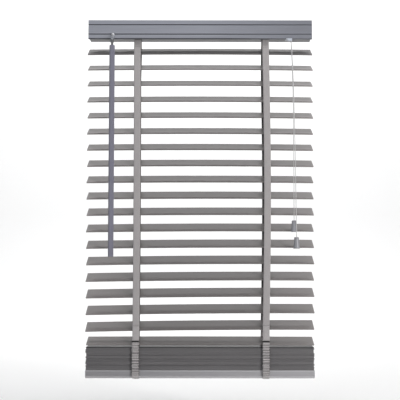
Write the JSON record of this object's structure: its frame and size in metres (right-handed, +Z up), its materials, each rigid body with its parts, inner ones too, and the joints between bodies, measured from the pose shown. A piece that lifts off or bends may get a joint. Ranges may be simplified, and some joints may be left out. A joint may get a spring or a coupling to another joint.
{
  "type": "venetian blind",
  "caption": "Corded venetian blind: wide tilting slats on cloth ladder tapes under a grooved valance, with tilt wand, cord lock, tassels and a stack of spare slats on the bottom rail.",
  "frame": {"origin": "middle of the four top screws, in the plane that the brackets screw up to", "axes": "+Z up, +X to the right of a person facing the blind, -Y towards that person"},
  "size_m": [0.6, 0.0853, 0.9525],
  "materials": {
    "headrail_steel": "satin paint",
    "bracket_steel": "satin paint",
    "valance_wood": "painted, satin, faint grain",
    "slat_wood": "painted, satin, faint grain",
    "rail_wood": "painted, satin, faint grain",
    "tape_cloth": "woven cotton tape",
    "rod_steel": "zinc plated",
    "roller_steel": "knurled",
    "clear_plastic": "clear moulding",
    "white_plastic": "moulded",
    "lock_plastic": "moulded",
    "dark_plastic": "moulded",
    "wand_plastic": "six-sided, painted",
    "cap_plastic": "moulded",
    "button_plastic": "milky, translucent",
    "tassel_plastic": "moulded",
    "cord": "braided polyester"
  },
  "bodies": {
    "headrail": {"headrail": "headrail_steel", "headrail_end_caps": "white_plastic", "mounting_brackets": "bracket_steel", "valance": "valance_wood", "tilter_housing": "white_plastic", "ladder_cradles": "white_plastic", "cord_lock_body": "lock_plastic", "lift_cords": "cord", "pull_cord_left": "cord", "pull_cord_right": "cord"},
    "tilt_shaft": {"tilt_rod": "rod_steel", "ladder_drums": "white_plastic", "tilter_wheel": "white_plastic"},
    "tilter_worm": {"tilter_worm": "clear_plastic"},
    "wand_cup": {"wand_cup": "dark_plastic"},
    "tilt_wand": {"tilt_wand": "wand_plastic"},
    "front_tapes": {"front_tapes": "tape_cloth"},
    "rear_tapes": {"rear_tapes": "tape_cloth"},
    "bottom_rail": {"bottom_rail": "rail_wood", "rail_end_caps": "cap_plastic", "rail_buttons": "button_plastic", "stacked_slats": "slat_wood", "tape_tails": "tape_cloth"},
    "tassels": {"tassels": "tassel_plastic"},
    "cord_lock_roller": {"cord_lock_roller": "roller_steel"},
    "slat_01": {"slat_01": "slat_wood"},
    "slat_02": {"slat_02": "slat_wood"},
    "rungs_02": {"rungs_02": "tape_cloth"},
    "slat_03": {"slat_03": "slat_wood"},
    "rungs_03": {"rungs_03": "tape_cloth"},
    "slat_04": {"slat_04": "slat_wood"},
    "rungs_04": {"rungs_04": "tape_cloth"},
    "slat_05": {"slat_05": "slat_wood"},
    "rungs_05": {"rungs_05": "tape_cloth"},
    "slat_06": {"slat_06": "slat_wood"},
    "rungs_06": {"rungs_06": "tape_cloth"},
    "slat_07": {"slat_07": "slat_wood"},
    "rungs_07": {"rungs_07": "tape_cloth"},
    "slat_08": {"slat_08": "slat_wood"},
    "rungs_08": {"rungs_08": "tape_cloth"},
    "slat_09": {"slat_09": "slat_wood"},
    "rungs_09": {"rungs_09": "tape_cloth"},
    "slat_10": {"slat_10": "slat_wood"},
    "rungs_10": {"rungs_10": "tape_cloth"},
    "slat_11": {"slat_11": "slat_wood"},
    "rungs_11": {"rungs_11": "tape_cloth"},
    "slat_12": {"slat_12": "slat_wood"},
    "rungs_12": {"rungs_12": "tape_cloth"},
    "slat_13": {"slat_13": "slat_wood"},
    "rungs_13": {"rungs_13": "tape_cloth"},
    "slat_14": {"slat_14": "slat_wood"},
    "rungs_14": {"rungs_14": "tape_cloth"},
    "slat_15": {"slat_15": "slat_wood"},
    "rungs_15": {"rungs_15": "tape_cloth"},
    "slat_16": {"slat_16": "slat_wood"},
    "rungs_16": {"rungs_16": "tape_cloth"},
    "slat_17": {"slat_17": "slat_wood"},
    "rungs_17": {"rungs_17": "tape_cloth"},
    "slat_18": {"slat_18": "slat_wood"},
    "rungs_18": {"rungs_18": "tape_cloth"}
  },
  "joints": [
    {"name": "tilt", "type": "hinge", "parent": "headrail", "child": "tilt_shaft", "pos_m": [0, 0, -0.026], "axis": [1, 0, 0], "range_deg": [-90, 45], "deforming": ["rungs_02", "rungs_03", "rungs_04", "rungs_05", "rungs_06", "rungs_07", "rungs_08", "rungs_09", "rungs_10", "rungs_11", "rungs_12", "rungs_13", "rungs_14", "rungs_15", "rungs_16", "rungs_17", "rungs_18"]},
    {"name": "worm_spin", "type": "hinge", "parent": "headrail", "child": "tilter_worm", "pos_m": [-0.233, -0.0094, -0.0166], "axis": [0, -0.7071, -0.7071], "range_deg": [-1445, 725]},
    {"name": "wand_swing", "type": "hinge", "parent": "headrail", "child": "wand_cup", "pos_m": [-0.233, -0.051, -0.05819], "axis": [1, 0, 0], "range_deg": [-75, 1.5]},
    {"name": "wand_spin", "type": "hinge", "parent": "wand_cup", "child": "tilt_wand", "pos_m": [-0.233, -0.051, -0.05819], "axis": [0, 0, -1], "range_deg": [-1445, 725]},
    {"name": "front_tape_travel", "type": "slide", "parent": "headrail", "child": "front_tapes", "axis": [0, 0, 1], "range_m": [-0.0158, 0.0315]},
    {"name": "rear_tape_travel", "type": "slide", "parent": "headrail", "child": "rear_tapes", "axis": [0, 0, 1], "range_m": [-0.0315, 0.0158]},
    {"name": "lift", "type": "slide", "parent": "headrail", "child": "bottom_rail", "axis": [0, 0, 1], "range_m": [0, 0.58], "deforming": ["front_tapes", "rear_tapes", "lift_cords", "pull_cord_left", "pull_cord_right"]},
    {"name": "tassel_drop", "type": "slide", "parent": "headrail", "child": "tassels", "axis": [0, 0, 1], "range_m": [-0.581, 0.001]},
    {"name": "lock_roller", "type": "slide", "parent": "headrail", "child": "cord_lock_roller", "axis": [0, 0.5, 0.866], "range_m": [0, 0.004]},
    {"name": "slat_01_tilt", "type": "hinge", "parent": "headrail", "child": "slat_01", "pos_m": [0, 0, -0.078], "axis": [1, 0, 0], "range_deg": [-90.5, 45.5]},
    {"name": "slat_02_lift", "type": "slide", "parent": "headrail", "child": "rungs_02", "axis": [0, 0, 1], "range_m": [0, 0.0292]},
    {"name": "slat_02_tilt", "type": "hinge", "parent": "rungs_02", "child": "slat_02", "pos_m": [0, 0, -0.1212], "axis": [1, 0, 0], "range_deg": [-90.5, 45.5]},
    {"name": "slat_03_lift", "type": "slide", "parent": "headrail", "child": "rungs_03", "axis": [0, 0, 1], "range_m": [0, 0.0631]},
    {"name": "slat_03_tilt", "type": "hinge", "parent": "rungs_03", "child": "slat_03", "pos_m": [0, 0, -0.1644], "axis": [1, 0, 0], "range_deg": [-90.5, 45.5]},
    {"name": "slat_04_lift", "type": "slide", "parent": "headrail", "child": "rungs_04", "axis": [0, 0, 1], "range_m": [0, 0.097]},
    {"name": "slat_04_tilt", "type": "hinge", "parent": "rungs_04", "child": "slat_04", "pos_m": [0, 0, -0.2076], "axis": [1, 0, 0], "range_deg": [-90.5, 45.5]},
    {"name": "slat_05_lift", "type": "slide", "parent": "headrail", "child": "rungs_05", "axis": [0, 0, 1], "range_m": [0, 0.1309]},
    {"name": "slat_05_tilt", "type": "hinge", "parent": "rungs_05", "child": "slat_05", "pos_m": [0, 0, -0.2508], "axis": [1, 0, 0], "range_deg": [-90.5, 45.5]},
    {"name": "slat_06_lift", "type": "slide", "parent": "headrail", "child": "rungs_06", "axis": [0, 0, 1], "range_m": [0, 0.1648]},
    {"name": "slat_06_tilt", "type": "hinge", "parent": "rungs_06", "child": "slat_06", "pos_m": [0, 0, -0.294], "axis": [1, 0, 0], "range_deg": [-90.5, 45.5]},
    {"name": "slat_07_lift", "type": "slide", "parent": "headrail", "child": "rungs_07", "axis": [0, 0, 1], "range_m": [0, 0.1987]},
    {"name": "slat_07_tilt", "type": "hinge", "parent": "rungs_07", "child": "slat_07", "pos_m": [0, 0, -0.3372], "axis": [1, 0, 0], "range_deg": [-90.5, 45.5]},
    {"name": "slat_08_lift", "type": "slide", "parent": "headrail", "child": "rungs_08", "axis": [0, 0, 1], "range_m": [0, 0.2326]},
    {"name": "slat_08_tilt", "type": "hinge", "parent": "rungs_08", "child": "slat_08", "pos_m": [0, 0, -0.3804], "axis": [1, 0, 0], "range_deg": [-90.5, 45.5]},
    {"name": "slat_09_lift", "type": "slide", "parent": "headrail", "child": "rungs_09", "axis": [0, 0, 1], "range_m": [0, 0.2665]},
    {"name": "slat_09_tilt", "type": "hinge", "parent": "rungs_09", "child": "slat_09", "pos_m": [0, 0, -0.4236], "axis": [1, 0, 0], "range_deg": [-90.5, 45.5]},
    {"name": "slat_10_lift", "type": "slide", "parent": "headrail", "child": "rungs_10", "axis": [0, 0, 1], "range_m": [0, 0.3004]},
    {"name": "slat_10_tilt", "type": "hinge", "parent": "rungs_10", "child": "slat_10", "pos_m": [0, 0, -0.4668], "axis": [1, 0, 0], "range_deg": [-90.5, 45.5]},
    {"name": "slat_11_lift", "type": "slide", "parent": "headrail", "child": "rungs_11", "axis": [0, 0, 1], "range_m": [0, 0.3343]},
    {"name": "slat_11_tilt", "type": "hinge", "parent": "rungs_11", "child": "slat_11", "pos_m": [0, 0, -0.51], "axis": [1, 0, 0], "range_deg": [-90.5, 45.5]},
    {"name": "slat_12_lift", "type": "slide", "parent": "headrail", "child": "rungs_12", "axis": [0, 0, 1], "range_m": [0, 0.3682]},
    {"name": "slat_12_tilt", "type": "hinge", "parent": "rungs_12", "child": "slat_12", "pos_m": [0, 0, -0.5532], "axis": [1, 0, 0], "range_deg": [-90.5, 45.5]},
    {"name": "slat_13_lift", "type": "slide", "parent": "headrail", "child": "rungs_13", "axis": [0, 0, 1], "range_m": [0, 0.4021]},
    {"name": "slat_13_tilt", "type": "hinge", "parent": "rungs_13", "child": "slat_13", "pos_m": [0, 0, -0.5964], "axis": [1, 0, 0], "range_deg": [-90.5, 45.5]},
    {"name": "slat_14_lift", "type": "slide", "parent": "headrail", "child": "rungs_14", "axis": [0, 0, 1], "range_m": [0, 0.436]},
    {"name": "slat_14_tilt", "type": "hinge", "parent": "rungs_14", "child": "slat_14", "pos_m": [0, 0, -0.6396], "axis": [1, 0, 0], "range_deg": [-90.5, 45.5]},
    {"name": "slat_15_lift", "type": "slide", "parent": "headrail", "child": "rungs_15", "axis": [0, 0, 1], "range_m": [0, 0.4699]},
    {"name": "slat_15_tilt", "type": "hinge", "parent": "rungs_15", "child": "slat_15", "pos_m": [0, 0, -0.6828], "axis": [1, 0, 0], "range_deg": [-90.5, 45.5]},
    {"name": "slat_16_lift", "type": "slide", "parent": "headrail", "child": "rungs_16", "axis": [0, 0, 1], "range_m": [0, 0.5038]},
    {"name": "slat_16_tilt", "type": "hinge", "parent": "rungs_16", "child": "slat_16", "pos_m": [0, 0, -0.726], "axis": [1, 0, 0], "range_deg": [-90.5, 45.5]},
    {"name": "slat_17_lift", "type": "slide", "parent": "headrail", "child": "rungs_17", "axis": [0, 0, 1], "range_m": [0, 0.5377]},
    {"name": "slat_17_tilt", "type": "hinge", "parent": "rungs_17", "child": "slat_17", "pos_m": [0, 0, -0.7692], "axis": [1, 0, 0], "range_deg": [-90.5, 45.5]},
    {"name": "slat_18_lift", "type": "slide", "parent": "headrail", "child": "rungs_18", "axis": [0, 0, 1], "range_m": [0, 0.5716]},
    {"name": "slat_18_tilt", "type": "hinge", "parent": "rungs_18", "child": "slat_18", "pos_m": [0, 0, -0.8124], "axis": [1, 0, 0], "range_deg": [-90.5, 45.5]}
  ],
  "couplings": [
    {"joint": "worm_spin", "follows": "tilt", "ratio": 16},
    {"joint": "wand_spin", "follows": "tilt", "ratio": 16},
    {"joint": "front_tape_travel", "follows": "tilt", "m_per_rad": -0.02},
    {"joint": "rear_tape_travel", "follows": "tilt", "m_per_rad": 0.02},
    {"joint": "tassel_drop", "follows": "lift", "ratio": -1},
    {"joint": "slat_01_tilt", "follows": "tilt", "ratio": 1},
    {"joint": "slat_02_lift", "follows": "lift", "ratio": 0.049483},
    {"joint": "slat_02_tilt", "follows": "tilt", "ratio": 1},
    {"joint": "slat_03_lift", "follows": "lift", "ratio": 0.10793},
    {"joint": "slat_03_tilt", "follows": "tilt", "ratio": 1},
    {"joint": "slat_04_lift", "follows": "lift", "ratio": 0.16638},
    {"joint": "slat_04_tilt", "follows": "tilt", "ratio": 1},
    {"joint": "slat_05_lift", "follows": "lift", "ratio": 0.22483},
    {"joint": "slat_05_tilt", "follows": "tilt", "ratio": 1},
    {"joint": "slat_06_lift", "follows": "lift", "ratio": 0.28328},
    {"joint": "slat_06_tilt", "follows": "tilt", "ratio": 1},
    {"joint": "slat_07_lift", "follows": "lift", "ratio": 0.34172},
    {"joint": "slat_07_tilt", "follows": "tilt", "ratio": 1},
    {"joint": "slat_08_lift", "follows": "lift", "ratio": 0.40017},
    {"joint": "slat_08_tilt", "follows": "tilt", "ratio": 1},
    {"joint": "slat_09_lift", "follows": "lift", "ratio": 0.45862},
    {"joint": "slat_09_tilt", "follows": "tilt", "ratio": 1},
    {"joint": "slat_10_lift", "follows": "lift", "ratio": 0.51707},
    {"joint": "slat_10_tilt", "follows": "tilt", "ratio": 1},
    {"joint": "slat_11_lift", "follows": "lift", "ratio": 0.57552},
    {"joint": "slat_11_tilt", "follows": "tilt", "ratio": 1},
    {"joint": "slat_12_lift", "follows": "lift", "ratio": 0.63397},
    {"joint": "slat_12_tilt", "follows": "tilt", "ratio": 1},
    {"joint": "slat_13_lift", "follows": "lift", "ratio": 0.69241},
    {"joint": "slat_13_tilt", "follows": "tilt", "ratio": 1},
    {"joint": "slat_14_lift", "follows": "lift", "ratio": 0.75086},
    {"joint": "slat_14_tilt", "follows": "tilt", "ratio": 1},
    {"joint": "slat_15_lift", "follows": "lift", "ratio": 0.80931},
    {"joint": "slat_15_tilt", "follows": "tilt", "ratio": 1},
    {"joint": "slat_16_lift", "follows": "lift", "ratio": 0.86776},
    {"joint": "slat_16_tilt", "follows": "tilt", "ratio": 1},
    {"joint": "slat_17_lift", "follows": "lift", "ratio": 0.92621},
    {"joint": "slat_17_tilt", "follows": "tilt", "ratio": 1},
    {"joint": "slat_18_lift", "follows": "lift", "ratio": 0.98465},
    {"joint": "slat_18_tilt", "follows": "tilt", "ratio": 1}
  ]
}
